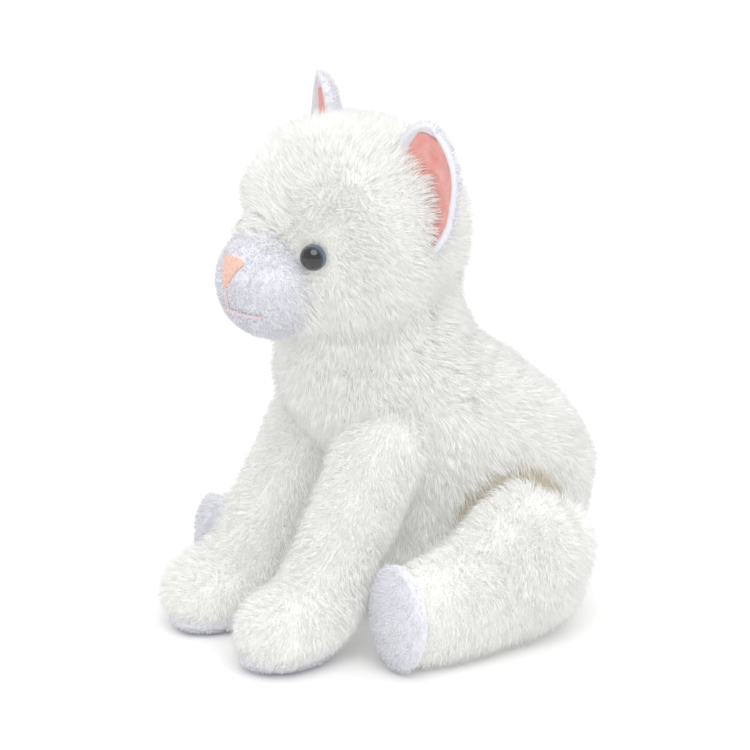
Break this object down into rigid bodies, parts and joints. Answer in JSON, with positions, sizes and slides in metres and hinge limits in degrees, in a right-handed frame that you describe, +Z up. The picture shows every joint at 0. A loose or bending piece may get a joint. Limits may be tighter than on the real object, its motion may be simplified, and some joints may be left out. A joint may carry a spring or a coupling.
{
  "type": "plush cat",
  "caption": "Seated white plush cat with a soft turning head, cupped satin-lined ears, domed eyes, stuffed legs with short-pile soles and a curled tail.",
  "frame": {"origin": "on the flat seat under the torso, in the plane that the cat rests on", "axes": "+Z up from the seat, the cat looks along -Y, +X is its own left"},
  "size_m": [0.1794, 0.2082, 0.248],
  "materials": {
    "long_plush": "long-pile plush",
    "short_plush": "short-pile plush",
    "stuffing": "polyester fibre",
    "pellets": "cloth bag of plastic pellets",
    "pink_satin": "satin",
    "peach_satin": "satin",
    "pink_thread": "embroidery thread",
    "white_thread": "sewing thread",
    "eye_clear": "clear domed plastic over grey-blue",
    "eye_black": "black plastic",
    "washer_white": "moulded plastic"
  },
  "bodies": {
    "torso": {"torso_cover": "long_plush", "torso_stuffing": "stuffing", "pellet_bag": "pellets", "closing_seam": "white_thread"},
    "neck": {"neck_stuffing": "stuffing"},
    "head": {"head_cover": "long_plush", "head_stuffing": "stuffing", "neck_seam": "white_thread", "muzzle_cover": "short_plush", "muzzle_stuffing": "stuffing", "nose_patch": "peach_satin", "mouth_stitch": "pink_thread", "eye_dome_left": "eye_clear", "eye_stem_left": "eye_black", "eye_washer_left": "washer_white", "eye_dome_right": "eye_clear", "eye_stem_right": "eye_black", "eye_washer_right": "washer_white"},
    "ear_left": {"ear_back_left": "short_plush", "ear_lining_left": "pink_satin"},
    "ear_right": {"ear_back_right": "short_plush", "ear_lining_right": "pink_satin"},
    "foreleg_left": {"foreleg_cover_left": "long_plush", "foreleg_stuffing_left": "stuffing", "foreleg_sole_left": "short_plush"},
    "foreleg_right": {"foreleg_cover_right": "long_plush", "foreleg_stuffing_right": "stuffing", "foreleg_sole_right": "short_plush"},
    "hind_leg_left": {"hind_leg_cover_left": "long_plush", "hind_leg_stuffing_left": "stuffing", "hind_leg_sole_left": "short_plush"},
    "hind_leg_right": {"hind_leg_cover_right": "long_plush", "hind_leg_stuffing_right": "stuffing", "hind_leg_sole_right": "short_plush"},
    "tail": {"tail_cover": "long_plush", "tail_stuffing": "stuffing"}
  },
  "joints": [
    {"name": "head_turn", "type": "hinge", "parent": "torso", "child": "neck", "pos_m": [0, -0.004, 0.146], "axis": [0, 0, 1], "range_deg": [-40, 40], "stiffness_Nm_per_rad": 0.6},
    {"name": "head_nod", "type": "hinge", "parent": "neck", "child": "head", "pos_m": [0, -0.004, 0.146], "axis": [-1, 0, 0], "range_deg": [-12, 14], "stiffness_Nm_per_rad": 0.9},
    {"name": "ear_fold_left", "type": "hinge", "parent": "head", "child": "ear_left", "pos_m": [0.0487, -0.01191, 0.20648], "axis": [0.3552, 0.158, -0.9213], "range_deg": [0, 30], "stiffness_Nm_per_rad": 0.05},
    {"name": "ear_fold_right", "type": "hinge", "parent": "head", "child": "ear_right", "pos_m": [-0.03746, -0.01191, 0.21402], "axis": [0.5098, -0.158, 0.8457], "range_deg": [0, 30], "stiffness_Nm_per_rad": 0.05},
    {"name": "foreleg_swing_left", "type": "hinge", "parent": "torso", "child": "foreleg_left", "pos_m": [0.03, -0.018, 0.095], "axis": [-1, 0, 0], "range_deg": [0, 25], "stiffness_Nm_per_rad": 0.3},
    {"name": "foreleg_swing_right", "type": "hinge", "parent": "torso", "child": "foreleg_right", "pos_m": [-0.03, -0.018, 0.095], "axis": [-1, 0, 0], "range_deg": [0, 25], "stiffness_Nm_per_rad": 0.3},
    {"name": "hind_leg_lift_left", "type": "hinge", "parent": "torso", "child": "hind_leg_left", "pos_m": [0.061, 0.04, 0.039], "axis": [-1, 0, 0], "range_deg": [0, 20], "stiffness_Nm_per_rad": 0.3},
    {"name": "hind_leg_lift_right", "type": "hinge", "parent": "torso", "child": "hind_leg_right", "pos_m": [-0.061, 0.03, 0.039], "axis": [-1, 0, 0], "range_deg": [0, 20], "stiffness_Nm_per_rad": 0.3},
    {"name": "tail_swing", "type": "hinge", "parent": "torso", "child": "tail", "pos_m": [-0.00545, 0.08833, 0.012], "axis": [0, 0, -1], "range_deg": [0, 30], "stiffness_Nm_per_rad": 0.1}
  ]
}
